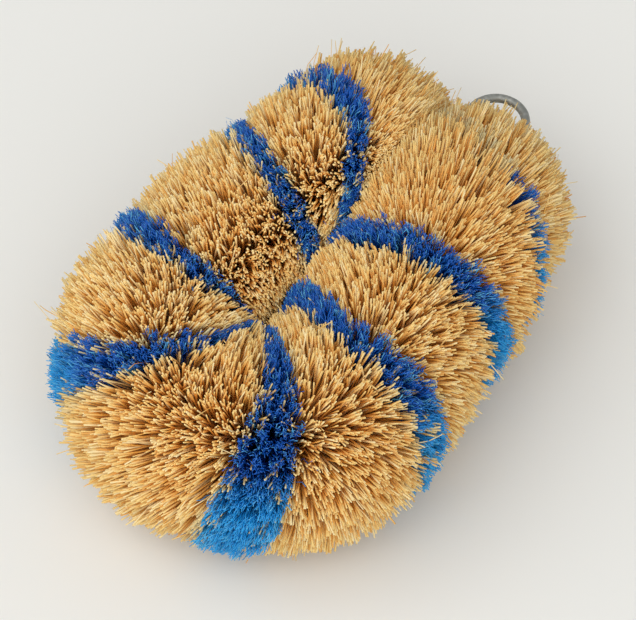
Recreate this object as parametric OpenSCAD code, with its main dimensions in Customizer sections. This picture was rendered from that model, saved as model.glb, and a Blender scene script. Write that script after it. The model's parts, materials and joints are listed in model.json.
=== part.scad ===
// Palm brush: stiff plant fibre and blue nylon gripped by two twisted wires, bent round and tied at the ends.
// It lies on its bristles. X runs across it, Y from the bend to the ring, and Z up from the table.
// The origin is on the table, under the middle of the whole length, with the ring drawn straight out.
// The core is measured by s, in millimetres from the end of the left limb, round the bend, to the right one.

/* [Brush] */
// Reach of the bristle tips from the core
brush_r = 27; // [24:0.5:31]
// Radius of the bend in the core
bend_r = 22.4; // [20:0.2:27]
// Straight length of each limb of the core
limb_len = 58; // [50:1:72]
// Angle by which each limb leans towards the other
limb_tilt = 7.5; // [4:0.5:9]
// Depth by which the bristles are flattened on the table
floor_cut = 0.5; // [0.3:0.1:1]
// Gap between the bristles of the two limbs
middle_gap = 0.8; // [0.4:0.1:2]
// Radius of the bare hollow in the middle of the bend
hub_r = 5; // [3.5:0.5:7]

/* [Bands] */
// Number of blue bands along the core
blue_count = 8; // [5:1:8]
// Width of a blue band at its roots
blue_root_w = 6; // [4:0.5:8]
// Width of a blue band at its tips
blue_tip_w = 7.4; // [5:0.2:9]
// How much shorter the blue bristles are than the natural ones
blue_short = 1.2; // [0:0.2:3]
// Side of the rod, in degrees from outward to up, about which the bands are slanted
slant_side = 55; // [0:5:90]

/* [Strands] */
// Strands in one row round the core
strand_cols = 13; // [10:1:14]
// Rows of strands in one natural tuft
natural_rows = 3; // [2:1:3]
// Rows of strands in one blue tuft
blue_rows = 1; // [1:1:2]
// Width of a strand at its tip
strand_w = 2.3; // [1.4:0.1:3]
// Share of a row's length that is left bare at each side of its strands
row_bare = 0.24; // [0.1:0.02:0.36]
// Outer radius of the packed roots round the wires
sleeve_r = 4; // [3.6:0.1:5]
// Gap between neighbouring tufts at their roots
seam_gap = 0.15; // [0.05:0.05:0.4]
// Length of roots past the straight part of each limb
end_roots = 6; // [3:0.5:8]
// Length near each limb's end over which the bristles start to fan out
fan_from = 12; // [6:1:18]
// Angle by which the last tips lean past the limb's end
end_fan = 55; // [35:1:60]

/* [Wires] */
// Diameter of each core wire
core_wire_d = 2; // [1.6:0.1:2.2]
// Length in which the core wires make one full turn round each other
twist_pitch = 13; // [10:0.5:20]
// Gap left between wires that lie against each other
wire_gap = 0.12; // [0.05:0.01:0.2]
// Gap between the core wires and the roots round them
root_gap = 0.35; // [0.25:0.05:0.5]
// Distance along Y in which the core wires bend in towards the neck
neck_run = 8.4; // [8:0.2:14]
// Distance of the neck from the middle, towards the right limb
neck_x = 3.2; // [0:0.2:4]
// Height by which the neck hangs below the core
neck_drop = 3.5; // [0:0.1:5]
// Diameter of the binding wire
bind_wire_d = 1.2; // [0.8:0.1:1.4]
// Turns of the binding wire
bind_turns = 4; // [3:1:6]
// Gap between the turns of the binding wire
bind_turn_gap = 0.45; // [0.42:0.01:0.8]

/* [Ring] */
// Diameter of the wire of the eye that holds the ring
eye_wire_d = 1.6; // [1.2:0.1:1.8]
// Radius of the eye, to the middle of its wire
eye_r = 2.6; // [2.4:0.1:4]
// Gap between the binding and the eye's loop
eye_gap = 0.4; // [0.3:0.1:2]
// Gap between the eye and the ring that hangs in it
seat_gap = 0.2; // [0.1:0.05:0.4]
// Diameter of the ring's wire
ring_wire_d = 2.2; // [1.6:0.1:2.4]
// Radius of the ring, to the middle of its wire
ring_r = 7; // [6:0.1:12]
// Distance by which the ring sits off the eye, towards the right limb
ring_off_x = 1.5; // [-3:0.1:3]

/* [Hidden] */
// Small shifts of the blue bands from an even spacing, as a hand-made brush has them
blue_shift = [0, -4, 3, 1, 0.5, -3.5, -1, 0];
// How far each blue band runs forward and back along the core as it goes round it
blue_slant = [5, 9.5, 7, 9, 6, 7, 1, 5];
slice_count = 2 * blue_count + 1;

// Lengths of the core, how the bristles fan out at its ends, and limits on a strand
arc_turn = 180 + 2 * limb_tilt;
arc_len = PI * bend_r * arc_turn / 180;
core_len = 2 * limb_len + arc_len;
core_z = brush_r - floor_cut;
fan_len = brush_r * end_fan * PI / 180;
root_share = (fan_from + end_roots) / (fan_from + fan_len);
shortest_share = 0.3;
most_of_cell = 0.36;
tiny = 0.001;

// Sides and steps of the wires
wire_sides = 6;
wire_step = 1.3;
turn_steps = 24;
look = 0.2;
eye_sides = 8;
eye_open = 115;
throat_steps = 6;
loop_steps = 10;

// The twisted pairs, and the eye's legs and the binding round them
strand_off = (core_wire_d + wire_gap) / 2;
pair_r = strand_off + core_wire_d / 2;
bore_r = (pair_r + root_gap) / cos(180 / strand_cols);
pair_x = pair_r + wire_gap / 2;
leg_z = sqrt(pow(pair_r + eye_wire_d / 2 + wire_gap, 2) - pow(pair_x, 2));
bind_pitch = bind_wire_d + bind_turn_gap;
bind_a = pair_x + pair_r + bind_wire_d / 2 + wire_gap;
bind_b = leg_z + (eye_wire_d + bind_wire_d) / 2 + wire_gap;

// Lengths along Y, one after the other from the middle of the bend
roots_len = bend_r * sin(limb_tilt) + (limb_len + end_roots) * cos(limb_tilt);
bind_len = bind_turns * bind_pitch;
eye_len = (bind_wire_d + eye_wire_d) / 2 + eye_gap + eye_r;
ring_len = sqrt(pow(ring_r, 2) - pow(ring_off_x, 2));
seat_len = eye_r - (eye_wire_d + ring_wire_d) / 2 - seat_gap;
reach_back = roots_len + neck_run + bind_len + eye_len + seat_len + ring_len + ring_r + ring_wire_d / 2;

// Places in the part's frame, and the spaces that the strands keep out of
bend_y = (bend_r + brush_r - reach_back) / 2;
root_end_y = bend_y + roots_len;
bind_y = root_end_y + neck_run;
bind_end_y = bind_y + bind_len;
eye_y = bind_end_y + eye_len;
neck_z = core_z - neck_drop;
neck_pull = neck_run * 0.75;
neck_slack = 1.1;
eye_at = [neck_x, eye_y, neck_z];
seat_at = eye_at + [0, seat_len, 0];
ring_at = seat_at + [ring_off_x, ring_len, 0];
neck_box_x = core_point(-end_roots).x - pair_r;
neck_box = [
    [neck_box_x, root_end_y, neck_z - bind_b - bind_wire_d],
    [-neck_box_x, eye_y, core_z + pair_r]
];
ring_reach = 2 * ring_r + ring_wire_d;
ring_box = [
    [ring_at.x - ring_r - ring_wire_d, eye_y - ring_wire_d, neck_z - ring_reach],
    [ring_at.x + ring_r + ring_wire_d, eye_y + ring_reach, neck_z + ring_reach]
];

NATURAL = [for (k = [1 : blue_count + 1]) str("natural_tuft_", k)];
BLUE = [for (k = [1 : blue_count]) str("blue_tuft_", k)];

// Small helpers
function unit(v) = v / norm(v);
function mix(a, b, t) = a + (b - a) * t;
function limit(v, low, high) = min(max(v, low), high);
function bezier(p, t) = let (u = 1 - t)
    u * u * u * p[0] + 3 * u * u * t * p[1] + 3 * u * t * t * p[2] + t * t * t * p[3];

// The core's line: left limb, bend and right limb
function core_angle(s) = 180 - limb_tilt + 180 * limit(s - limb_len, 0, arc_len) / (PI * bend_r);
function heading(s) = let (a = core_angle(s)) [-sin(a), cos(a), 0];
function outward(s) = let (a = core_angle(s)) [cos(a), sin(a), 0];
function core_point(s) = let (past = s < limb_len ? s - limb_len : max(s - limb_len - arc_len, 0))
    [0, bend_y, core_z] + bend_r * outward(s) + past * heading(s);
function on_bend(s) = s > limb_len && s < limb_len + arc_len;

// A point at a distance from the core, turned from outward (0) to straight up (90)
function around(s, turn, r) = core_point(s) + r * (cos(turn) * outward(s) + [0, 0, sin(turn)]);

// Tips follow the outline of a rod with round ends, and q runs along that outline
function tip_lean(q) = (q < 0 ? q : max(q - core_len, 0)) / brush_r * 180 / PI;
function tip_s(q, reach) = limit(q, 0, core_len) + reach * sin(tip_lean(q));
function tip_point(q, turn, reach) = around(tip_s(q, reach), turn, reach * cos(tip_lean(q)));

// Roots lie under their tips, but crowd together near the ends
function root_of(q) = q < fan_from ? fan_from - (fan_from - q) * root_share
    : q > core_len - fan_from ? core_len - fan_from + (q - core_len + fan_from) * root_share
    : q;

// The edges between the tufts, numbered from the left limb's end: blue tufts lie between odd and even edges
function blue_mid(k, turn) = core_len * k / (blue_count - 1) + blue_shift[k]
    + blue_slant[k] * sin(turn - slant_side);
function edge(m, turn, blue_w) = m == 0 ? -fan_len
    : m == slice_count ? core_len + fan_len
    : blue_mid(floor((m - 1) / 2), turn) + (m % 2 == 1 ? -0.5 : 0.5) * blue_w;

// Share of the way from p to t at which a strand has to end: at the table, the middle, the neck or the ring
function floor_share(p, t) = t.z < 0 ? p.z / (p.z - t.z) : 1;
function middle_share(s, p, t) = let (side = s < core_len / 2 ? -1 : 1)
    on_bend(s) || side * t.x > middle_gap / 2 ? 1
    : (side * p.x - middle_gap / 2) / (side * (p.x - t.x));
function box_share(p, t, box, spare) = let (
        d = [for (i = [0 : 2]) abs(t[i] - p[i]) < tiny ? tiny : t[i] - p[i]],
        low = [for (i = [0 : 2]) (box[0][i] - spare - p[i]) / d[i]],
        high = [for (i = [0 : 2]) (box[1][i] + spare - p[i]) / d[i]],
        enter = max([for (i = [0 : 2]) min(low[i], high[i])]),
        leave = min([for (i = [0 : 2]) max(low[i], high[i])])
    ) enter < leave && leave > 0 && enter < 1 ? max(enter, 0) : 1;

// A tuft: a sleeve of packed roots round the wires, with rows of four-sided strands on it
function rows_of(m) = m % 2 == 0 ? natural_rows : blue_rows;
function turn_at(m, v, c) = 360 / strand_cols * (c + 0.5 * (v + m));
function root_s(m, v, turn) = let (
        first = root_of(edge(m, turn, blue_root_w)) + seam_gap / 2,
        last = root_of(edge(m + 1, turn, blue_root_w)) - seam_gap / 2
    ) mix(first, last, v / rows_of(m));
function root_point(m, v, c, r) = let (turn = turn_at(m, v, c)) around(root_s(m, v, turn), turn, r);
function tip_q(m, v, turn) = mix(edge(m, turn, blue_tip_w), edge(m + 1, turn, blue_tip_w), v / rows_of(m));
function full_reach(m, s, turn) = let (reach = brush_r - (m % 2) * blue_short)
    on_bend(s) && cos(turn) < 0 ? min(reach, (bend_r - hub_r) / -cos(turn)) : reach;

// Four tip corners of the strand in row i and column c, cut where something is in its way
function tip_corners(m, i, c) = let (
        turn = turn_at(m, i + 0.5, c + 0.5),
        q = tip_q(m, i + 0.5, turn),
        s = limit(q, 0, core_len),
        reach = full_reach(m, s, turn),
        stretch = on_bend(s) ? 1 + reach * cos(turn) / bend_r : 1,
        row_q = (tip_q(m, i + 1, turn) - tip_q(m, i, turn)) * most_of_cell,
        half_q = min(strand_w / 2 / stretch, row_q),
        tip_r = reach * cos(tip_lean(q)),
        half_turn = min(strand_w / 2 / tip_r * 180 / PI, most_of_cell * 360 / strand_cols)
    ) [for (corner = [[-1, -1], [1, -1], [1, 1], [-1, 1]])
        tip_point(q + corner[0] * half_q, turn + corner[1] * half_turn, reach)];
function root_corners(m, i, c) = [
    for (corner = [[row_bare, 0], [1 - row_bare, 0], [1 - row_bare, 1], [row_bare, 1]])
        root_point(m, i + corner[0], c + corner[1], sleeve_r)
];
function strand_share(m, i, c) = let (
        roots = root_corners(m, i, c),
        tips = tip_corners(m, i, c),
        p = (roots[0] + roots[1] + roots[2] + roots[3]) / 4,
        t = (tips[0] + tips[1] + tips[2] + tips[3]) / 4
    ) min(box_share(p, t, neck_box, strand_w / 2), box_share(p, t, ring_box, strand_w / 2));
function cut_tips(m, i, c) = let (
        s = root_s(m, i + 0.5, turn_at(m, i + 0.5, c + 0.5)),
        roots = root_corners(m, i, c),
        tips = tip_corners(m, i, c),
        share = strand_share(m, i, c)
    ) [for (k = [0 : 3]) mix(roots[k], tips[k],
        min(share, floor_share(roots[k], tips[k]), middle_share(s, roots[k], tips[k])))];

module tuft(m) {
    rows = rows_of(m);
    n = strand_cols;
    cells = [for (i = [0 : rows - 1]) for (c = [0 : n - 1]) [i, c]];
    levels = concat([0], [for (i = [0 : rows - 1]) for (v = [i + row_bare, i + 1 - row_bare]) v], [rows]);
    outer = [for (v = levels) for (c = [0 : n - 1]) root_point(m, v, c, sleeve_r)];
    bore_steps = rows * (on_bend(root_s(m, rows / 2, 0)) ? 2 : 1);
    inner = [
        for (j = [0 : bore_steps]) for (c = [0 : n - 1])
            root_point(m, j * rows / bore_steps, c, bore_r)
    ];
    tips = [for (cell = cells) each cut_tips(m, cell[0], cell[1])];
    inner_at = len(outer);
    tips_at = inner_at + len(inner);
    last_outer = n * (len(levels) - 1);
    last_inner = inner_at + n * bore_steps;
    standing = [for (cell = cells) strand_share(m, cell[0], cell[1]) > shortest_share];
    strips = [
        for (j = [0 : rows]) for (c = [0 : n - 1])
            let (a = 2 * j * n + c, d = 2 * j * n + (c + 1) % n)
            each [[a, d, d + n], [a, d + n, a + n]]
    ];
    strands = [
        for (k = [0 : len(cells) - 1])
            let (
                i = cells[k][0],
                c = cells[k][1],
                a = (2 * i + 1) * n + c,
                d = (2 * i + 1) * n + (c + 1) % n,
                foot = [a, d, d + n, a + n],
                top = [for (corner = [0, 3, 2, 1]) tips_at + 4 * k + corner]
            )
            each standing[k]
                ? concat(
                    [for (e = [0 : 3]) [foot[e], foot[(e + 1) % 4], top[(e + 1) % 4]]],
                    [for (e = [0 : 3]) [foot[e], top[(e + 1) % 4], top[e]]],
                    [[top[0], top[1], top[2]], [top[0], top[2], top[3]]])
                : [[foot[0], foot[1], foot[2]], [foot[0], foot[2], foot[3]]]
    ];
    bore = [
        for (j = [0 : bore_steps - 1]) for (c = [0 : n - 1])
            let (a = inner_at + j * n + c, d = inner_at + j * n + (c + 1) % n)
            each [[a, d + n, d], [a, a + n, d + n]]
    ];
    ends = [
        for (c = [0 : n - 1])
            let (d = (c + 1) % n)
            each [
                [d, c, inner_at + c],
                [d, inner_at + c, inner_at + d],
                [last_outer + c, last_outer + d, last_inner + c],
                [last_outer + d, last_inner + d, last_inner + c]
            ]
    ];
    polyhedron(
        points = concat(outer, inner, tips),
        faces = concat(strips, strands, bore, ends),
        convexity = 10
    );
}

// A tube through rings of points, closed at both ends
module tube(rings) {
    n = len(rings[0]);
    last = (len(rings) - 1) * n;
    sides = [
        for (i = [0 : len(rings) - 2]) for (k = [0 : n - 1])
            let (a = i * n + k, d = i * n + (k + 1) % n)
            each [[a, a + n, d + n], [a, d + n, d]]
    ];
    ends = [for (k = [1 : n - 2]) each [[0, k, k + 1], [last, last + k + 1, last + k]]];
    polyhedron(points = [for (ring = rings) each ring], faces = concat(sides, ends), convexity = 10);
}

// A ring of points round a wire's middle, with one corner towards side
function wire_ring(middle, along, side, d, n) = let (
        across = unit(cross(along, side)),
        out = cross(across, unit(along))
    ) [for (k = [0 : n - 1]) middle + d / 2 * (cos(360 * k / n) * out + sin(360 * k / n) * across)];

// The line of each pair of core wires: past the roots it bends in to the neck, then runs straight
function neck_curve(side) = let (
        from = core_point(side < 0 ? -end_roots : core_len + end_roots),
        away = heading(side < 0 ? -end_roots : core_len + end_roots) * side,
        to = [neck_x + side * pair_x, bind_y, neck_z]
    ) [from, from + away * neck_pull, to - [0, neck_pull, 0], to];
function neck_len(side) = let (p = neck_curve(side)) norm(p[3] - p[0]) * neck_slack;
function lead_point(side, far) = far < neck_len(side) ? bezier(neck_curve(side), far / neck_len(side))
    : neck_curve(side)[3] + [0, far - neck_len(side), 0];
function wire_mid(w) = w < -end_roots ? lead_point(-1, -end_roots - w)
    : w > core_len + end_roots ? lead_point(1, w - core_len - end_roots)
    : core_point(w);
function strand_point(w, phase) = let (
        along = unit(wire_mid(w + look) - wire_mid(w - look)),
        side = unit([along.y, -along.x, 0]),
        a = 360 * w / twist_pitch + phase
    ) wire_mid(w) + strand_off * (cos(a) * side + sin(a) * cross(side, along));

module core_wire(phase) {
    tail = bind_end_y - bind_y;
    first = -end_roots - neck_len(-1) - tail;
    last = core_len + end_roots + neck_len(1) + tail;
    steps = ceil((last - first) / wire_step);
    tube([
        for (i = [0 : steps])
            let (w = mix(first, last, i / steps), middle = strand_point(w, phase))
            wire_ring(middle, strand_point(w + look, phase) - strand_point(w - look, phase),
                middle - wire_mid(w), core_wire_d, wire_sides)
    ]);
}

module core_wire_a() {
    color("darkgray") core_wire(0);
}

module core_wire_b() {
    color("gray") core_wire(180);
}

// The binding: one wire wound round the two pairs and the eye's legs
function bind_point(a) = [neck_x + bind_a * cos(a), bind_y + bind_wire_d / 2 + bind_pitch * a / 360,
    neck_z + bind_b * sin(a)];
function bind_points() = let (last = bind_turns * turn_steps - turn_steps / 2)
    [for (i = [0 : last]) bind_point(360 * i / turn_steps)];
function least_gap(points, apart, d) = let (last = len(points) - 1)
    min([for (i = [0 : last - apart]) for (j = [i + apart : last]) norm(points[i] - points[j])]) - d;

module neck_binding() {
    points = bind_points();
    echo(binding_least_gap = least_gap(points, turn_steps / 2, bind_wire_d));
    color("lightgray") tube([
        for (i = [0 : len(points) - 1])
            let (a = 360 * i / turn_steps)
            wire_ring(points[i], bind_point(a + 1) - bind_point(a - 1),
                points[i] - [neck_x, points[i].y, neck_z], bind_wire_d, wire_sides)
    ]);
}

// The eye: two straight legs under the binding that open into a round loop
function eye_point(a) = eye_at + eye_r * [0, cos(a), sin(a)];
function eye_half(side) = let (
        open = side * eye_open,
        throat = [neck_x, bind_end_y - bind_wire_d / 2, neck_z + side * leg_z],
        loop_start = eye_point(open),
        reach = norm(throat - loop_start) / 3,
        slope = [0, -sin(eye_open), side * cos(eye_open)],
        curve = [throat, throat + [0, reach, 0], loop_start + slope * reach, loop_start]
    ) concat(
        [[neck_x, bind_y - bind_wire_d / 2, neck_z + side * leg_z]],
        [for (i = [0 : throat_steps - 1]) bezier(curve, i / throat_steps)],
        [for (i = [0 : loop_steps - 1]) eye_point(open * (1 - i / loop_steps))]
    );

module hanging_eye() {
    low = eye_half(-1);
    high = eye_half(1);
    points = concat(low, [eye_point(0)], [for (i = [len(high) - 1 : -1 : 0]) high[i]]);
    last = len(points) - 1;
    color("silver") tube([
        for (i = [0 : last])
            let (along = points[min(i + 1, last)] - points[max(i - 1, 0)])
            wire_ring(points[i], along, [1, 0, 0], eye_wire_d, eye_sides)
    ]);
}

module hanging_ring() {
    color("slategray") translate(ring_at)
        rotate_extrude($fn = 96) translate([ring_r, 0]) circle(d = ring_wire_d, $fn = 32);
}

module natural_tuft(k) {
    color("burlywood") tuft(2 * k - 2);
}

module blue_tuft(k) {
    color("royalblue") tuft(2 * k - 1);
}

core_wire_a();
core_wire_b();
neck_binding();
hanging_eye();
hanging_ring();
for (k = [1 : blue_count + 1]) natural_tuft(k);
for (k = [1 : blue_count]) blue_tuft(k);
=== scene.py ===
"""The looks of a palm brush: its fibres, the wires that grip them, the loose ring, the floor and the light.

The brush's shape is worked out in millimetres, with the same sizes as the part's source, and turned into
metres as its meshes are made. The core is measured by s, from the left limb's end round the bend to the
right one. A turn round the core is 0 outward, a quarter turn straight up, and half a turn at the valley.
"""

import json
import logging
import math
from abc import ABC, abstractmethod
from dataclasses import dataclass
from enum import Enum
from typing import Any

import bpy
import numpy as np
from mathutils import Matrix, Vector
from mathutils.kdtree import KDTree


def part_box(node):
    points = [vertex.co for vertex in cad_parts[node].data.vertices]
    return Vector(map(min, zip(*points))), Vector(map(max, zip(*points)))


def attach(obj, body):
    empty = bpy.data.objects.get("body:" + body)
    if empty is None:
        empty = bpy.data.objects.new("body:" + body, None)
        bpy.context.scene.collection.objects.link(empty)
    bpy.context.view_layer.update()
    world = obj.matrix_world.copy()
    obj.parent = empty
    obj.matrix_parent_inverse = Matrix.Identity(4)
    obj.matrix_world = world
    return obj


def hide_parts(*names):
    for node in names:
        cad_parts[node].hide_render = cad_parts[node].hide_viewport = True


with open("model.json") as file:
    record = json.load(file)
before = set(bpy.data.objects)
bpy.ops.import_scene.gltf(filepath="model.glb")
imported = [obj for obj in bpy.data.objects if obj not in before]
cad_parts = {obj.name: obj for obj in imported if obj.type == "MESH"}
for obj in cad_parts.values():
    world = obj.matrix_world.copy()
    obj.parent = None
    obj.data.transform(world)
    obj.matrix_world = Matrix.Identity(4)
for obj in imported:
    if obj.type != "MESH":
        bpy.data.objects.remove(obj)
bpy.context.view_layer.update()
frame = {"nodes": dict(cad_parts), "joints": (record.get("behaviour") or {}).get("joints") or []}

Array = np.ndarray
Colour = tuple[float, float, float]
Span = tuple[float, float]
MM = 0.001
UP = np.array([0.0, 0.0, 1.0])
BRUSH_BODY = "brush"
BAKE_MAP = "OFBake"
log = logging.getLogger("palm_brush")


class Slot(Enum):
    """The material slots of the record."""

    NATURAL = "natural_fibre"
    BLUE = "blue_fibre"
    WIRE = "galvanised_wire"


class Half(Enum):
    """The two pieces that a tuft is made in, above and below the core."""

    UPPER = "upper"
    LOWER = "lower"


def unit(vectors: Array) -> Array:
    """Return vectors, which lie along the last axis, scaled to a length of one."""
    return vectors / np.maximum(np.linalg.norm(vectors, axis=-1, keepdims=True), 1e-9)


def spread_evenly(count: int) -> Array:
    """Spread points evenly over a unit square, with no visible rows.

    Args:
        count: How many points to make.

    Returns:
        The points, one in each row.
    """
    # One over the plastic number, and its square.
    steps = np.array([0.7548776662, 0.5698402910])
    return (0.5 + np.arange(count)[:, None] * steps) % 1.0


def round_turns(sides: int) -> Array:
    """Return the turns, in radians, of the corners of a circle with so many sides."""
    return np.arange(sides) * 2 * math.pi / sides


def bezier(control: Array, t: Array) -> Array:
    """Return points on a cubic curve.

    Args:
        control: Its four control points.
        t: Shares of the way along it.

    Returns:
        One point for each share.
    """
    t = t[:, None]
    u = 1 - t
    return u**3 * control[0] + 3 * u * u * t * control[1] + 3 * u * t * t * control[2] + t**3 * control[3]


class Link:
    """A shader socket that takes part in arithmetic."""

    def __init__(self, graph: "Graph", socket: bpy.types.NodeSocket | None) -> None:
        """Wrap an output socket of a graph."""
        self.graph = graph
        self.socket = socket

    def _work_out(self, operation: str, first: Any, second: Any) -> "Link":
        """Add a Math node, or a Vector Math node where a colour or a vector comes in.

        Args:
            operation: The node's operation.
            first: A link, a number or a colour.
            second: A link, a number or a colour.

        Returns:
            The node's output.
        """
        threefold = any(
            value.socket.type != "VALUE" if isinstance(value, Link) else isinstance(value, tuple)
            for value in (first, second)
        )
        kind = "ShaderNodeVectorMath" if threefold else "ShaderNodeMath"
        return self.graph.node(kind, {"operation": operation}, {0: first, 1: second})

    def __add__(self, other: Any) -> "Link":
        """Return this plus other."""
        return self._work_out("ADD", self, other)

    def __radd__(self, other: Any) -> "Link":
        """Return other plus this."""
        return self._work_out("ADD", other, self)

    def __sub__(self, other: Any) -> "Link":
        """Return this minus other."""
        return self._work_out("SUBTRACT", self, other)

    def __rsub__(self, other: Any) -> "Link":
        """Return other minus this."""
        return self._work_out("SUBTRACT", other, self)

    def __mul__(self, other: Any) -> "Link":
        """Return this times other."""
        return self._work_out("MULTIPLY", self, other)

    def __rmul__(self, other: Any) -> "Link":
        """Return other times this."""
        return self._work_out("MULTIPLY", other, self)

    def between(self, span: Span) -> "Link":
        """Return a smooth step, from 0 at the span's first value to 1 at its second."""
        sockets = {"Value": self, "From Min": span[0], "From Max": span[1]}
        return self.graph.node("ShaderNodeMapRange", {"interpolation_type": "SMOOTHSTEP"}, sockets)


class Graph:
    """The nodes of one material."""

    def __init__(self, name: str) -> None:
        """Make an empty material.

        Args:
            name: The material's name.
        """
        self.material = bpy.data.materials.new(name)
        self.material.use_nodes = True
        self.tree = self.material.node_tree
        self.tree.nodes.clear()

    def node(
        self,
        kind: str,
        settings: dict[str, Any] | None = None,
        sockets: dict[str | int, Any] | None = None,
        out: str | int = 0,
    ) -> Link:
        """Add a node.

        Args:
            kind: The node's type.
            settings: Properties of the node, set before its sockets.
            sockets: Links or values by socket name or number.
            out: The name or number of the output to return.

        Returns:
            The chosen output.
        """
        made = self.tree.nodes.new(kind)
        for name, value in (settings or {}).items():
            setattr(made, name, value)
        for name, value in (sockets or {}).items():
            if isinstance(value, Link):
                self.tree.links.new(value.socket, made.inputs[name])
            else:
                made.inputs[name].default_value = self._fitted(made.inputs[name], value)
        return Link(self, made.outputs[out] if made.outputs else None)

    @staticmethod
    def _fitted(socket: bpy.types.NodeSocket, value: Any) -> Any:
        """Fit a value to a socket: a colour gets its alpha, and a number stands for three alike in a vector.

        Args:
            socket: The socket that takes the value.
            value: A number or a colour.

        Returns:
            The value as the socket takes it.
        """
        if socket.type == "RGBA":
            return (*value, 1.0)
        return (value,) * 3 if socket.type == "VECTOR" and not isinstance(value, tuple) else value

    def blend(self, share: Any, first: Any, second: Any) -> Link:
        """Return two colours mixed, where share says how much of the second one shows."""
        return self.node("ShaderNodeMix", {"data_type": "RGBA"}, {0: share, 6: first, 7: second}, 2)

    def attribute(self, name: str) -> Link:
        """Return a number that the mesh holds at its points."""
        return self.node("ShaderNodeAttribute", {"attribute_name": name}, out="Fac")

    def place(self) -> Link:
        """Return the place on the object, so that a pattern stays with it."""
        return self.node("ShaderNodeTexCoord", out="Object")

    def noise(self, scale: float, detail: float = 2.0) -> Link:
        """Return noise with so many blotches in a metre and octaves of detail."""
        return self.node("ShaderNodeTexNoise", sockets={"Vector": self.place(), "Scale": scale, "Detail": detail})

    def bump(self, height: Link, depth: float, strength: float = 1.0) -> Link:
        """Return the normal of a height from 0 to 1 that is so many metres deep, shown at a share of it."""
        return self.node("ShaderNodeBump", sockets={"Height": height, "Distance": depth, "Strength": strength})

    def close(self, **sockets: Any) -> bpy.types.Material:
        """Finish with a Principled shader.

        Args:
            **sockets: Links or values by socket name, with an underscore for each space.

        Returns:
            The material.
        """
        named = {name.replace("_", " "): value for name, value in sockets.items()}
        shader = self.node("ShaderNodeBsdfPrincipled", sockets=named)
        self.node("ShaderNodeOutputMaterial", sockets={"Surface": shader})
        return self.material


@dataclass(frozen=True)
class PlantFibre:
    """Stiff straw-coloured plant fibre: pale cut tips, golden sides, and painted shade, darker and more orange,
    towards the roots deep in the brush.
    """

    tip: Colour = (0.94, 0.67, 0.25)
    side: Colour = (0.88, 0.47, 0.10)
    # Painted shade: the roots, deep in the brush, are darker and more orange.
    depth: Colour = (0.80, 0.34, 0.06)
    pale: Colour = (0.97, 0.82, 0.47)
    rust: Colour = (0.78, 0.33, 0.05)
    # Painted shade with a blue cast, for fibres beside a blue band.
    blue_cast_shade: Colour = (0.38, 0.43, 0.33)
    dusky: Colour = (0.91, 0.90, 0.88)
    clean: Colour = (1.08, 1.08, 1.08)
    side_run: Span = (0.25, 0.8)
    tip_run: Span = (0.86, 1.0)
    odd_run: Span = (0.5, 1.0)
    odd_share: float = 0.75
    blue_cast_share: float = 0.5
    blotches: float = 900.0
    grain: float = 2600.0
    grain_depth: float = 0.00003
    smoothest: float = 0.5
    rougher: float = 0.3
    gloss: float = 0.35

    def material(self) -> bpy.types.Material:
        """Build the fibre's material.

        Returns:
            The material.
        """
        g = Graph("plant_fibre")
        along, tone, beside_blue = (g.attribute(name) for name in ("along", "tone", "accent"))
        mottle = g.noise(self.blotches)
        # Painted shade: darker and more orange towards the roots.
        colour = g.blend(along.between(self.side_run), self.depth, self.side)
        colour = g.blend(along.between(self.tip_run), colour, self.tip)
        colour = g.blend(tone.between(self.odd_run) * self.odd_share, colour, self.pale)
        colour = g.blend((1.0 - tone).between(self.odd_run) * self.odd_share, colour, self.rust)
        # Painted shade with a blue cast on the fibres at a slice's edges, beside the blue bands.
        colour = g.blend(beside_blue * self.blue_cast_share, colour, self.blue_cast_shade)
        return g.close(
            Base_Color=colour * g.blend(mottle, self.dusky, self.clean),
            Roughness=self.smoothest + self.rougher * mottle,
            Specular_IOR_Level=self.gloss,
            Normal=g.bump(g.noise(self.grain, 1.0), self.grain_depth),
        )


@dataclass(frozen=True)
class BlueNylon:
    """Crimped nylon, with painted light: deep blue shade between the fibres, cyan at the tips, and a glow on the
    tips of the outer side.
    """

    # Painted shade: deep navy towards the roots, between the fibres.
    depth: Colour = (0.001, 0.014, 0.11)
    side: Colour = (0.001, 0.042, 0.33)
    # Painted light: a lighter cyan at the tips, where light shines through the thin ends.
    tip: Colour = (0.004, 0.125, 0.56)
    # Painted highlight: a bright cyan given to fibres picked by their random tone.
    bright: Colour = (0.14, 0.54, 0.82)
    # Painted glow: light through the fibre tips on the outer side, a little below level.
    painted_glow: Colour = (0.02, 0.44, 0.90)
    dusky: Colour = (0.88, 0.88, 0.90)
    clean: Colour = (1.12, 1.12, 1.08)
    side_run: Span = (0.4, 0.85)
    tip_run: Span = (0.8, 1.0)
    glow_run: Span = (0.55, 1.0)
    odd_run: Span = (0.65, 1.0)
    glow_share: float = 0.85
    odd_share: float = 0.8
    blotches: float = 700.0
    grain: float = 3000.0
    grain_depth: float = 0.00002
    smoothest: float = 0.28
    rougher: float = 0.2

    def material(self) -> bpy.types.Material:
        """Build the nylon's material.

        Returns:
            The material.
        """
        g = Graph("blue_nylon")
        along, tone, glow = (g.attribute(name) for name in ("along", "tone", "accent"))
        mottle = g.noise(self.blotches)
        # Painted shade towards the roots.
        colour = g.blend(along.between(self.side_run), self.depth, self.side)
        # Painted light: lighter cyan towards the tips.
        colour = g.blend(along.between(self.tip_run), colour, self.tip)
        # Painted glow on the tips of the fibres that face outward.
        colour = g.blend(glow * along.between(self.glow_run) * self.glow_share, colour, self.painted_glow)
        # Painted highlight on fibres picked by their random tone.
        colour = g.blend(tone.between(self.odd_run) * self.odd_share, colour, self.bright)
        return g.close(
            Base_Color=colour * g.blend(mottle, self.dusky, self.clean),
            Roughness=self.smoothest + self.rougher * mottle,
            Normal=g.bump(g.noise(self.grain, 1.0), self.grain_depth),
        )


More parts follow.
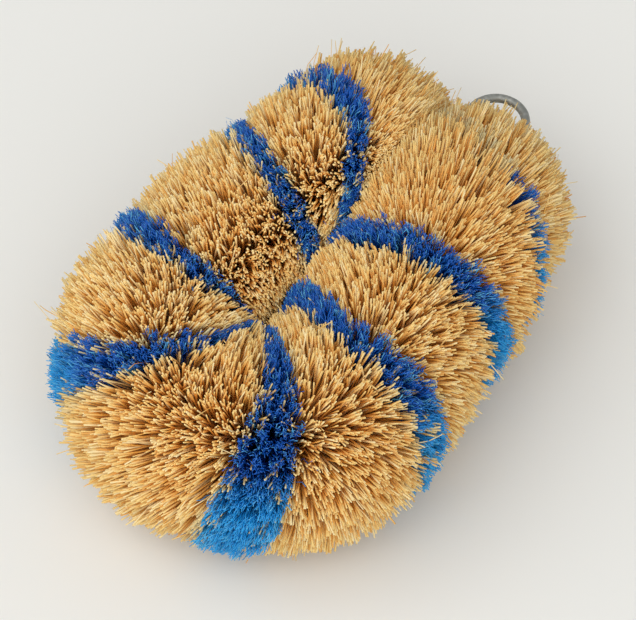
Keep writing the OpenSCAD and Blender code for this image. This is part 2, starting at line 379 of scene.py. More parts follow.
@dataclass(frozen=True)
class GalvanisedWire:
    """Zinc-coated steel wire: bright and dull patches, fine pitting and a little grime."""

    bright: Colour = (0.46, 0.47, 0.44)
    dull: Colour = (0.34, 0.35, 0.32)
    grime: Colour = (0.16, 0.13, 0.09)
    spangle_run: Span = (0.1, 0.7)
    grime_run: Span = (0.56, 0.75)
    grime_share: float = 0.7
    spangles: float = 900.0
    blotches: float = 450.0
    pits: float = 2200.0
    pit_depth: float = 0.00005
    pit_share: float = 0.6
    metal: float = 0.85
    metal_lost: float = 0.6
    smoothest: float = 0.48
    rougher: float = 0.24

    def material(self) -> bpy.types.Material:
        """Build the wire's material.

        Returns:
            The material.
        """
        g = Graph("zinc_coated_wire")
        cells = {"Vector": g.place(), "Scale": self.spangles}
        spangle = g.node("ShaderNodeTexVoronoi", sockets=cells, out="Distance").between(self.spangle_run)
        dirty = g.noise(self.blotches, 4.0).between(self.grime_run)
        pitting = g.noise(self.pits, 3.0)
        colour = g.blend(spangle, self.bright, self.dull)
        return g.close(
            Base_Color=g.blend(dirty * self.grime_share, colour, self.grime),
            Metallic=self.metal - self.metal_lost * dirty,
            Roughness=self.smoothest + self.rougher * pitting,
            Normal=g.bump(pitting, self.pit_depth, self.pit_share),
        )


@dataclass(frozen=True)
class PaleFloor:
    """A plain warm white table top."""

    colour: Colour = (0.87, 0.87, 0.83)
    roughness: float = 0.9
    gloss: float = 0.1

    def material(self) -> bpy.types.Material:
        """Return the floor's material."""
        g = Graph("pale_floor")
        return g.close(Base_Color=self.colour, Roughness=self.roughness, Specular_IOR_Level=self.gloss)


def mesh_object(name: str, points: Array, faces: list[Array], smooth: Array | bool = True) -> bpy.types.Object:
    """Make an object from faces that have the same number of corners in each group.

    Args:
        name: The object's name.
        points: The points, in millimetres.
        faces: Groups of faces, each an array with one face in a row.
        smooth: Whether the faces are shaded smoothly, for all of them or one by one.

    Returns:
        The object, in metres.
    """
    mesh = bpy.data.meshes.new(name)
    mesh.vertices.add(len(points))
    mesh.vertices.foreach_set("co", (points * MM).astype(np.float32).ravel())
    corners = np.concatenate([group.ravel() for group in faces]).astype(np.int32)
    sizes = np.concatenate([np.full(len(group), group.shape[1]) for group in faces])
    starts = np.concatenate([[0], np.cumsum(sizes)[:-1]]).astype(np.int32)
    mesh.loops.add(len(corners))
    mesh.loops.foreach_set("vertex_index", corners)
    mesh.polygons.add(len(sizes))
    mesh.polygons.foreach_set("loop_start", starts)
    mesh.polygons.foreach_set("use_smooth", np.full(len(sizes), smooth))
    mesh.update(calc_edges=True)
    made = bpy.data.objects.new(name, mesh)
    bpy.context.scene.collection.objects.link(made)
    return made


def tube_walls(rings: int, sides: int) -> Array:
    """Return the four-cornered walls of a tube whose points are numbered ring by ring.

    Args:
        rings: How many rings of points it has.
        sides: How many points are in a ring.

    Returns:
        One wall in each row.
    """
    corner, start = np.arange(sides), np.arange(rings - 1)[:, None] * sides
    first, second = start + corner, start + (corner + 1) % sides
    return np.stack([first, second, second + sides, first + sides], -1).reshape(-1, 4)


def round_wire(name: str, path: Array, radius: float, sides: int) -> bpy.types.Object:
    """Make a round wire along a path.

    Args:
        name: The object's name.
        path: Points along the wire's middle, in millimetres.
        radius: The wire's radius, in millimetres.
        sides: Corners round the wire.

    Returns:
        The wire, closed at both ends.
    """
    along = unit(np.gradient(path, axis=0))
    # A little off upright, so that no wire starts along it.
    side = unit(np.cross(along[0], UP + 0.01))
    turn = round_turns(sides)[:, None]
    rings = []
    for point, heading in zip(path, along, strict=True):
        side = unit(side - heading * (side @ heading))
        rings.append(point + radius * (np.cos(turn) * side + np.sin(turn) * np.cross(heading, side)))
    walls = tube_walls(len(path), sides)
    ends = np.stack([np.arange(sides)[::-1], np.arange(sides) + (len(path) - 1) * sides])
    smooth = np.repeat([True, False], [len(walls), len(ends)])
    return mesh_object(name, np.concatenate(rings), [walls, ends], smooth)


class SubAssembly(ABC):
    """Pieces of the brush that are built together and share one slot of the record."""

    slot: Slot

    @abstractmethod
    def build(self) -> list[bpy.types.Object]:
        """Return the pieces, made and tied to the frame."""

    def tie(self, piece: bpy.types.Object, node: str | None = None) -> bpy.types.Object:
        """Tie a new piece to the frame, where it rides on the brush's body.

        Args:
            piece: The piece.
            node: The CAD node that it stands for, if there is one.

        Returns:
            The same piece.
        """
        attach(piece, BRUSH_BODY)
        if node:
            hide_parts(node)
        self.slot.value
        return piece

    def dress(self, pieces: list[bpy.types.Object], finish: bpy.types.Material) -> None:
        """Give the pieces their finish.

        Args:
            pieces: What build returned.
            finish: The material of the pieces' slot.
        """
        for piece in pieces:
            piece.data.materials.clear()
            piece.data.materials.append(finish)


@dataclass(frozen=True)
class Core:
    """The line of the twisted wires, in millimetres.

    The reach is the length of the fibres from it, and the fan is how far they lean out round each end.
    """

    bend_y: float
    reach: float = 27.0
    bend_r: float = 22.4
    limb: float = 58.0
    tilt: float = math.radians(7.5)
    floor_cut: float = 0.5
    fan: float = math.radians(71)
    fan_from: float = 12.0
    end_roots: float = 6.0

    @property
    def arc(self) -> float:
        """Return the length of the bend."""
        return self.bend_r * (math.pi + 2 * self.tilt)

    @property
    def length(self) -> float:
        """Return the length from one limb's end to the other's."""
        return 2 * self.limb + self.arc

    @property
    def ends(self) -> Span:
        """Return where the roots start and stop, a little past the limbs' ends."""
        return -self.end_roots, self.length + self.end_roots

    @property
    def height(self) -> float:
        """Return the height of the core above the table."""
        return self.reach - self.floor_cut

    @property
    def fan_length(self) -> float:
        """Return how far the outline of the tips runs on round each end."""
        return self.reach * self.fan

    def on_bend(self, s: Array) -> Array:
        """Return whether each place along the core is on the bend."""
        return (s > self.limb) & (s < self.limb + self.arc)

    def outward(self, s: Array) -> Array:
        """Return the level direction away from the brush's middle, at each place along the core."""
        angle = math.pi - self.tilt + np.clip(s - self.limb, 0, self.arc) / self.bend_r
        return np.stack([np.cos(angle), np.sin(angle), np.zeros_like(angle)], -1)

    def heading(self, s: Array) -> Array:
        """Return the direction in which s grows, at each place."""
        return np.cross(UP, self.outward(s))

    def point(self, s: Array) -> Array:
        """Return points of the core, which runs on straight past its ends.

        Args:
            s: Places along the core.

        Returns:
            The points.
        """
        past = np.where(s < self.limb, s - self.limb, np.maximum(s - self.limb - self.arc, 0))
        middle = np.array([0, self.bend_y, self.height])
        return middle + self.bend_r * self.outward(s) + past[..., None] * self.heading(s)

    def radial(self, s: Array, turn: Array) -> Array:
        """Return directions square to the core, for places along it and turns round it."""
        return np.cos(turn)[..., None] * self.outward(s) + np.sin(turn)[..., None] * UP

    def root_of(self, s: Array) -> Array:
        """Return where the roots under a stretch of tips are, which crowd together near the ends.

        Args:
            s: Places along the outline of the tips.

        Returns:
            Places along the core.
        """
        share = (self.fan_from + self.end_roots) / (self.fan_from + self.fan_length)
        low = np.minimum(s - self.fan_from, 0) * share
        high = np.maximum(s - self.length + self.fan_from, 0) * share
        return np.clip(s, self.fan_from, self.length - self.fan_from) + low + high

    def end_lean(self, q: Array) -> Array:
        """Return how far fibres lean out past the nearer end, as an angle that is nought between the ends."""
        return (np.minimum(q, 0) + np.maximum(q - self.length, 0)) / self.reach

    def tip(self, q: Array, turn: Array, reach: Array) -> Array:
        """Return points on the outline of the tips, a rod with round ends.

        Args:
            q: Places along the outline, under nought or over the core's length on the round ends.
            turn: Turns round the core.
            reach: Distances from the core.

        Returns:
            The points.
        """
        lean = self.end_lean(q)
        s = np.clip(q, 0, self.length) + reach * np.sin(lean)
        return self.point(s) + (reach * np.cos(lean))[..., None] * self.radial(s, turn)


@dataclass(frozen=True)
class Band:
    """A blue band: its place along the core, its slant, and how its tips spread.

    The flare widens it outward, and the sweep carries its tips along the core at the valley. The curl
    carries them back, and narrows the band, below the core.
    """

    middle: float
    slant: float
    width: float
    flare: float = 0.0
    sweep: float = 0.0
    curl: float = 0.0


@dataclass(frozen=True)
class Stripes:
    """How natural tufts and blue bands share the core. Slices with an even number are natural.

    The trims say how much shorter each natural tuft is cut on the side where it wears, and the tones how pale it
    is.
    """

    core: Core
    slant_side: float = math.radians(55)
    sweep_side: float = math.radians(140)
    sweep_power: int = 6
    wear_side: float = math.radians(10)
    root_width: float = 6.0
    root_slant: float = 0.3
    least_width: float = 0.6
    trims: tuple[float, ...] = (1.2, 1.6, -0.8, 0.6, 0.8, 1.1, 1.4, -0.8, 1.4)
    tones: tuple[float, ...] = (0.02, 0.04, 0.04, 0.1, 0.02, 0.03, 0.0, -0.1, 0.06)
    bands: tuple[Band, ...] = (
        Band(-1.2, 1.5, 7.2, flare=-0.45, sweep=23),
        Band(23.5, 11.5, 4.7, sweep=2),
        Band(57.9, 7, 5.2),
        Band(82.9, 9, 4.7, flare=0.5, sweep=5),
        Band(110.7, 4.7, 6.0, flare=0.4, curl=3.3),
        Band(132.7, 1.6, 6.1, flare=-0.35, sweep=9),
        Band(162.5, 0, 6.2, flare=0.1),
        Band(194.0, 15, 1.2, flare=2.7),
    )

    @property
    def count(self) -> int:
        """Return the number of slices."""
        return 2 * len(self.bands) + 1

    def trim(self, number: int, turn: Array) -> Array:
        """Return how much shorter a slice is cut at each turn, which is most on its outer side, where it wears."""
        trims = self.trims[number // 2 : number // 2 + 1 + number % 2]
        return sum(trims) / len(trims) * np.maximum(np.cos(turn + self.wear_side), 0)

    def edge(self, number: int, turn: Array, at_root: bool) -> Array:
        """Return an edge between slices.

        Args:
            number: The edge, counted from the left limb's end.
            turn: Turns round the core.
            at_root: Whether the edge is wanted at the roots and not at the tips.

        Returns:
            The edge's place along the core for each turn.
        """
        if number == 0:
            return np.full_like(turn, -self.core.fan_length)
        if number == self.count:
            return np.full_like(turn, self.core.length + self.core.fan_length)
        band = self.bands[(number - 1) // 2]
        slant = band.slant * np.sin(turn - self.slant_side)
        if at_root:
            middle, width = band.middle + self.root_slant * slant, self.root_width
        else:
            sweep = band.sweep * np.maximum(np.cos(turn - self.sweep_side), 0) ** self.sweep_power
            curl = band.curl * np.maximum(-np.sin(turn), 0)
            middle = band.middle + slant + sweep - curl
            width = band.width * (1 + band.flare * np.maximum(np.cos(turn), 0)) - curl
            width = np.maximum(width, self.least_width)
        return middle + (width if number % 2 == 0 else -width) / 2


@dataclass(frozen=True)
class FibreKind:
    """How one kind of fibre is cut and how it lies, in millimetres.

    A fibre's points are at its stations, which are shares of its length. A slice is cut short of the core's
    reach, domed from its middle to its edges, and uneven. Its tips are pulled into clumps, each clump has its
    own lean, and each tip is a little wild. Some spill over the slice's edges, stray, or are long hairs.
    """

    slot: Slot
    per_mm2: float
    radius: float
    taper: float
    sides: int
    stations: tuple[float, ...]
    short: float
    dome: float
    uneven: float
    clump: int
    pull: float
    lean: float
    wild: float
    over_edge: float
    crimp: float
    stray_share: float
    hair_share: float
    hair_reach: float


NATURAL = FibreKind(
    slot=Slot.NATURAL, per_mm2=1.34, radius=0.25, taper=0.78, sides=4, stations=(0, 0.35, 0.64, 0.85, 1),
    short=0.7, dome=1.1, uneven=1.25, clump=6, pull=0.45, lean=0.6, wild=0.5, over_edge=2.0, crimp=0.0,
    stray_share=0.02, hair_share=0.014, hair_reach=6.0,
)
BLUE = FibreKind(
    slot=Slot.BLUE, per_mm2=3.4, radius=0.115, taper=0.9, sides=3,
    stations=(0, 0.45, 0.62, 0.72, 0.8, 0.87, 0.94, 1),
    short=0.4, dome=0.0, uneven=1.0, clump=14, pull=0.25, lean=0.6, wild=0.3, over_edge=0.3, crimp=0.34,
    stray_share=0.02, hair_share=0.01, hair_reach=2.5,
)


@dataclass(frozen=True)
class Fibres:
    """Fibres of one tuft: points from root to tip, radii, tone and accent.

    The accent marks painted light: blue-grey shade on a natural fibre near a blue band, and a cyan glow on a blue
    one facing outward.
    """

    paths: Array
    radii: Array
    tone: Array
    accent: Array

    def only(self, chosen: Array) -> "Fibres":
        """Return the chosen fibres."""
        return Fibres(self.paths[chosen], self.radii[chosen], self.tone[chosen], self.accent[chosen])


@dataclass(frozen=True)
class Clearance:
    """What the fibres bend away from: the table, the other limb, the neck and the swinging ring."""

    core: Core
    neck: Array
    ring_low: Array
    ring_high: Array
    neck_r: float = 4.2
    side_push: float = 0.45
    bend_gap: float = 1.0
    limb_gap: float = 0.9
    limb_gap_spread: float = 0.7
    limb_gap_ends: Span = (-0.8, 2.4)
    ring_spread: float = 0.5
    lift: float = 0.3
    least_lift: float = 0.02

    def settle_tips(self, tips: Array, s: Array, rng: np.random.Generator) -> Array:
        """Bend tips away from the valley and the middle of the bend.

        Args:
            tips: Where the tips would be if nothing were in their way.
            s: Places of their roots along the core.
            rng: Source of random numbers.

        Returns:
            The tips after bending.
        """
        core, count = self.core, len(s)
        bend = core.on_bend(s)
        right = np.where(s < core.length / 2, -1.0, 1.0)
        away = np.where(bend[:, None], core.outward(s), right[:, None] * np.array([1.0, 0, 0]))
        far = ((tips - [0, core.bend_y, 0]) * away)[:, :2].sum(-1)
        on_bend = self.bend_gap + np.abs(rng.normal(0, self.bend_gap, count))
        on_limb = np.clip(rng.normal(self.limb_gap, self.limb_gap_spread, count), *self.limb_gap_ends)
        over = np.maximum(np.where(bend, on_bend, on_limb) - far, 0)
        rise = np.where(tips[:, 2] > core.height, 1.0, -1.0) * over * self.side_push
        return tips + over[:, None] * away + rise[:, None] * UP

    def settle(self, paths: Array, radii: Array, rng: np.random.Generator) -> Array:
        """Bend whole fibres round the neck, off the ring's path and off the table.

        Args:
            paths: The points of each fibre, from its root.
            radii: The fibre's radius at each point.
            rng: Source of random numbers.

        Returns:
            The points after bending.
        """
        points = paths.copy()
        free = points[:, 1:]
        gaps = free[:, :, None, :] - self.neck
        near = np.linalg.norm(gaps, axis=-1)
        pick = near.argmin(-1)[..., None]
        least = np.take_along_axis(near, pick, -1)
        gap = np.take_along_axis(gaps, pick[..., None], 2)[:, :, 0]
        free += unit(gap) * np.maximum(self.neck_r - least, 0)
        inside = ((free > self.ring_low) & (free < self.ring_high)).all(-1)
        limit = self.ring_low[1] - np.abs(rng.normal(0, self.ring_spread, inside.shape))
        free[..., 1] = np.where(inside, limit, free[..., 1])
        lift = np.abs(rng.normal(0, self.lift, free.shape[:2])) + radii[:, 1:] + self.least_lift
        free[..., 2] = np.where(free[..., 2] < lift, lift, free[..., 2])
        return points


@dataclass
class Tuft(SubAssembly):
    """One slice of the brush: all its fibres, each a closed tapering rod.

    Lengths are in millimetres. A spread is a standard deviation, and ends are the least and the most that a
    random number may be. Narrow places in a slice are sunk, and its tips crowd together at the valley.
    """

    stripes: Stripes
    clearance: Clearance
    number: int
    kind: FibreKind
    root_r: float = 3.1
    edge_steps: int = 73
    bend_crowd: float = 0.75
    least_crowd: float = 0.35
    valley: float = 1.2
    valley_calm: float = 0.75
    pull_ends: Span = (0.5, 1.5)
    narrow: float = 3.5
    narrow_sink: float = 4.0
    over_edge_most: float = 1.6
    over_edge_power: int = 4
    stray_reach: float = 2.2
    wispy: float = 2.2
    hair_least: float = 0.2
    hair_thin: float = 0.55
    hair_sway: float = 0.2
    sway: float = 0.065
    straight: float = 0.42
    crimp_from: float = 0.3
    crimp_ends: Span = (0.5, 1.3)
    crimp_wander: float = 0.35
    clump_length: float = 0.35
    clump_tone: float = 0.12
    tone_spread: float = 0.25
    thick_spread: float = 0.16
    thick_ends: Span = (0.6, 1.45)
    # Where blue fibres get painted glow: facing outward, a little below level.
    glow_turn: float = math.radians(-15)
    glow_from: float = 0.6
    glow_run: float = 0.3
    # Where natural fibres start to get painted blue-grey shade, towards the slice's edges.
    blue_cast_from: float = 0.8
    seed: int = 900

    def __post_init__(self) -> None:
        """Seed the tuft's own random numbers."""
        self.core = self.stripes.core
        self.rng = np.random.default_rng(self.seed + self.number)

    @property
    def slot(self) -> Slot:
        """Return the slot of the tuft's fibre."""
        return self.kind.slot

    @property
    def natural(self) -> bool:
        """Return whether the tuft is of natural fibre."""
        return self.slot is Slot.NATURAL

    @property
    def node(self) -> str:
        """Return the name of the CAD node that the tuft stands for."""
        return f"{'natural' if self.natural else 'blue'}_tuft_{self.number // 2 + 1}"

    def _edges(self, turn: Array, at_root: bool = False) -> tuple[Array, Array]:
        """Return the tuft's two edges at its tips or roots, for turns round the core."""
        first, second = (self.stripes.edge(self.number + i, turn, at_root) for i in (0, 1))
        return first, second

    def _scatter(self) -> tuple[Array, Array]:
        """Choose where the fibres' tips go.

        Returns:
            Places along the outline, and turns round the core.
        """
        core, around = self.core, np.linspace(0, 2 * math.pi, self.edge_steps)
        low, high = self._edges(around)
        start, run = low.min(), high.max() - low.min()
        stretch_most = self.bend_crowd * core.reach / core.bend_r
        most = 1 + stretch_most + self.valley
        count = int(self.kind.per_mm2 * run * 2 * math.pi * core.reach * most)
        share = spread_evenly(count)
        q, turn = start + run * share[:, 0], 2 * math.pi * share[:, 1]
        stretch = np.where(core.on_bend(q), stretch_most * np.cos(turn), 0)
        crowd = np.where(core.on_bend(q), 0, self.valley * np.maximum(-np.cos(turn), 0))
        wanted = np.maximum((1 + stretch + crowd) * np.cos(core.end_lean(q)), self.least_crowd)
        keep = self.rng.random(count) * most < wanted
        low, high = self._edges(turn)
        keep &= (q >= low) & (q < high)
        return q[keep], turn[keep]

    def _clumped(self, tips: Array, turn: Array) -> tuple[Array, Array]:
        """Draw neighbouring tips together.

        Args:
            tips: The tips, spread evenly.
            turn: Turns round the core.

        Returns:
            The tips in clumps, and a random number for each that its clump shares.
        """
        kind, rng, count = self.kind, self.rng, len(tips)
        chosen = rng.choice(count, max(count // kind.clump, 1), replace=False)
        tree = KDTree(len(chosen))
        for number, tip in enumerate(tips[chosen]):
            tree.insert(tip, number)
        tree.balance()
        mine = np.array([tree.find(tip)[1] for tip in tips])
        lean = rng.normal(0, kind.lean, (len(chosen), 3))
        loose = 1 - self.valley_calm * np.maximum(-np.cos(turn), 0)[:, None]
        pull = kind.pull * rng.uniform(*self.pull_ends, count)[:, None]
        own = rng.normal(0, kind.wild, (count, 3))
        drawn = tips + loose * (pull * (tips[chosen][mine] - tips) + lean[mine] + own)
        return drawn, rng.normal(0, 1, len(chosen))[mine]

    def _reaches(self, from_middle: Array, turn: Array, width: Array) -> tuple[Array, Array]:
        """Choose how far from the core the fibres reach.

        Args:
            from_middle: Places across the slice, from -1 at one edge to 1 at the other.
            turn: Turns round the core.
            width: The slice's width there.

        Returns:
            The distances, and which fibres are long thin hairs.
        """
        kind, rng, count = self.kind, self.rng, len(turn)
        domed = kind.dome * (1 - 2 * from_middle**2)
        reach = self.core.reach - kind.short + domed - np.abs(rng.normal(0, kind.uneven, count))
        reach -= self.stripes.trim(self.number, turn) + self.narrow_sink * np.maximum(self.narrow - width, 0)
        hair = rng.random(count) < kind.hair_share * (self.wispy if self.number == 0 else 1)
        return reach + np.where(hair, rng.uniform(self.hair_least, 1, count) ** 2 * kind.hair_reach, 0), hair

    def _fibres(self) -> Fibres:
        """Lay out the fibres.

        Returns:
            All the tuft's fibres.
        """
        core, kind, rng = self.core, self.kind, self.rng
        q, turn = self._scatter()
        count = len(q)
        low, high = self._edges(turn)
        root_low, root_high = (core.root_of(edge) for edge in self._edges(turn, at_root=True))
        across = (q - low) / (high - low)
        s = root_low + across * (root_high - root_low)
        from_middle = 2 * across - 1
        if self.number == 0:
            from_middle = np.maximum(from_middle, 0)
        elif self.number == self.stripes.count - 1:
            from_middle = np.minimum(from_middle, 0)
        stray = rng.random(count) < kind.stray_share
        reach, hair = self._reaches(from_middle, turn, high - low)
        spill = np.sign(from_middle) * np.abs(from_middle) ** self.over_edge_power * kind.over_edge
        q = q + spill * rng.uniform(0, self.over_edge_most, count)
        q += stray * rng.normal(0, self.stray_reach, count)
        tips, shared = self._clumped(core.tip(q, turn, reach), turn)
        tips += (self.clump_length * kind.uneven * shared)[:, None] * core.radial(s, turn)
        tips = self.clearance.settle_tips(tips, s, rng)
        paths = self._curves(tips, s, turn, hair)
        thick = kind.radius * np.clip(rng.normal(1, self.thick_spread, count), *self.thick_ends)
        thick *= np.where(hair, self.hair_thin, 1)
        radii = thick[:, None] * (1 + (kind.taper - 1) * np.array(kind.stations))
        own_tone = self.stripes.tones[self.number // 2] if self.natural else 0.0
        tone = 0.5 + own_tone + self.clump_tone * shared + rng.normal(0, self.tone_spread, count)
        if self.natural:
            # Painted blue-grey shade on natural fibres near the slice's edges.
            accent = (np.abs(from_middle) - self.blue_cast_from) / (1 - self.blue_cast_from)
        else:
            # Painted cyan glow on blue fibres facing outward.
            accent = (np.cos(turn - self.glow_turn) - self.glow_from) / self.glow_run
        settled = self.clearance.settle(paths, radii, rng)
        return Fibres(settled, radii, np.clip(tone, 0, 1), np.clip(accent, 0, 1))

    def _curves(self, tips: Array, s: Array, turn: Array, hair: Array) -> Array:
        """Run each fibre straight out of the core and bend it to its tip.

        Args:
            tips: The tips.
            s: Places of the roots along the core.
            turn: Turns of the roots round the core.
            hair: Which fibres are long thin hairs.

        Returns:
            The points of each fibre.
        """
        radial = self.core.radial(s, turn)
        roots = self.core.point(s) + self.root_r * radial
        span = np.linalg.norm(tips - roots, axis=-1, keepdims=True)
        sway = np.where(hair, self.hair_sway, self.sway)[:, None] * span
        bent = roots + radial * span * self.straight + self.rng.normal(0, 1, tips.shape) * sway
        t = np.array(self.kind.stations)[:, None]
        paths = roots[:, None] * (1 - t) ** 2 + 2 * bent[:, None] * t * (1 - t) + tips[:, None] * t**2
        return paths + self._crimps(tips - roots, t) if self.kind.crimp else paths

    def _crimps(self, spans: Array, t: Array) -> Array:
        """Kink the fibres from side to side.

        Args:
            spans: Vectors from the roots to the tips.
            t: Shares of the length, one in a row.

        Returns:
            Shifts for the points of each fibre.
        """
        rng, count = self.rng, len(spans)
        side = unit(np.cross(spans, rng.normal(0, 1, (count, 3))))
        other = unit(np.cross(spans, side))
        zigzag = np.where(np.arange(len(t)) % 2 == 0, 1.0, -1.0) * (t[:, 0] > self.crimp_from)
        size = self.kind.crimp * rng.uniform(*self.crimp_ends, (count, 1))
        kinks = (size * zigzag)[..., None] * side[:, None]
        wander = rng.normal(0, self.crimp_wander * self.kind.crimp, (count, len(t)))[..., None] * other[:, None]
        return kinks + wander * t

    def build(self) -> list[bpy.types.Object]:
        """Make the tuft in two pieces, one above the core and one below it.

        Returns:
            The pieces, which stand for the tuft's CAD node.
        """
        fibres = self._fibres()
        above = fibres.paths[:, -1, 2] > self.core.height
        return [self._piece(Half.UPPER, fibres.only(above)), self._piece(Half.LOWER, fibres.only(~above))]

    def _piece(self, half: Half, fibres: Fibres) -> bpy.types.Object:
        """Make some of the fibres.

        Args:
            half: Which half of the tuft they are.
            fibres: The fibres.

        Returns:
            Their object.
        """
        count, rings, sides = *fibres.paths.shape[:2], self.kind.sides
        along = unit(np.gradient(fibres.paths, axis=1))
        side = unit(np.cross(along, self.rng.normal(0, 1, (count, 1, 3))))
        other = np.cross(along, side)
        turn = round_turns(sides)[:, None]
        out = np.cos(turn) * side[:, :, None] + np.sin(turn) * other[:, :, None]
        points = (fibres.paths[:, :, None] + fibres.radii[:, :, None, None] * out).reshape(-1, 3)
        points[:, 2] = np.maximum(points[:, 2], 0)
        first, corner = np.arange(count)[:, None] * rings * sides, np.arange(sides)
        walls = (first[..., None] + tube_walls(rings, sides)).reshape(-1, 4)
        caps = [first + corner[::-1], first + (rings - 1) * sides + corner]
        smooth = np.repeat([True, False, False], [len(walls), count, count])
        made = mesh_object(f"{self.node}_{half.value}", points, [walls, *caps], smooth)
        for name, values in (
            ("along", np.tile(np.repeat(np.array(self.kind.stations), sides), count)),
            ("tone", np.repeat(fibres.tone, rings * sides)),
            ("accent", np.repeat(fibres.accent, rings * sides)),
        ):
            made.data.attributes.new(name, "FLOAT", "POINT").data.foreach_set("value", values.astype(np.float32))
        self._lay_out(made.data, count)
        return self.tie(made, self.node)

    def _lay_out(self, mesh: bpy.types.Mesh, count: int) -> None:
        """Give every fibre a cell of its own in the map that its colours are baked through.

        The fibre's walls fill the lower part of its cell, and its two cut ends lie side by side above them.

        Args:
            mesh: The tuft's mesh.
            count: The number of fibres.
        """
        sides, stations = self.kind.sides, np.array(self.kind.stations)
        margin, tall, wide = 0.02, 0.84, 0.96
        cap_r, root_cap, tip_cap = 0.05, (0.75, 0.935), (0.25, 0.935)
        grid = math.ceil(math.sqrt(count))
        cell = np.stack([np.arange(count) % grid, np.arange(count) // grid], -1)
        left = np.arange(sides) / sides * wide + margin
        right = left + wide / sides - margin
        low, high = (ends[:, None] * tall + margin for ends in (stations[:-1], stations[1:]))
        wall = np.stack(np.broadcast_arrays(left, low, right, low, right, high, left, high), -1)
        walls = wall.reshape(-1, 4, 2) + cell[:, None, None]
        turn = round_turns(sides)
        cap = np.stack([np.cos(turn), np.sin(turn)], -1) * cap_r
        caps = [cap[::-1] + root_cap + cell[:, None], cap + tip_cap + cell[:, None]]
        corners = np.concatenate([part.reshape(-1, 2) for part in (walls, *caps)]) / grid
        mesh.uv_layers.new(name=BAKE_MAP).uv.foreach_set("vector", corners.astype(np.float32).ravel())


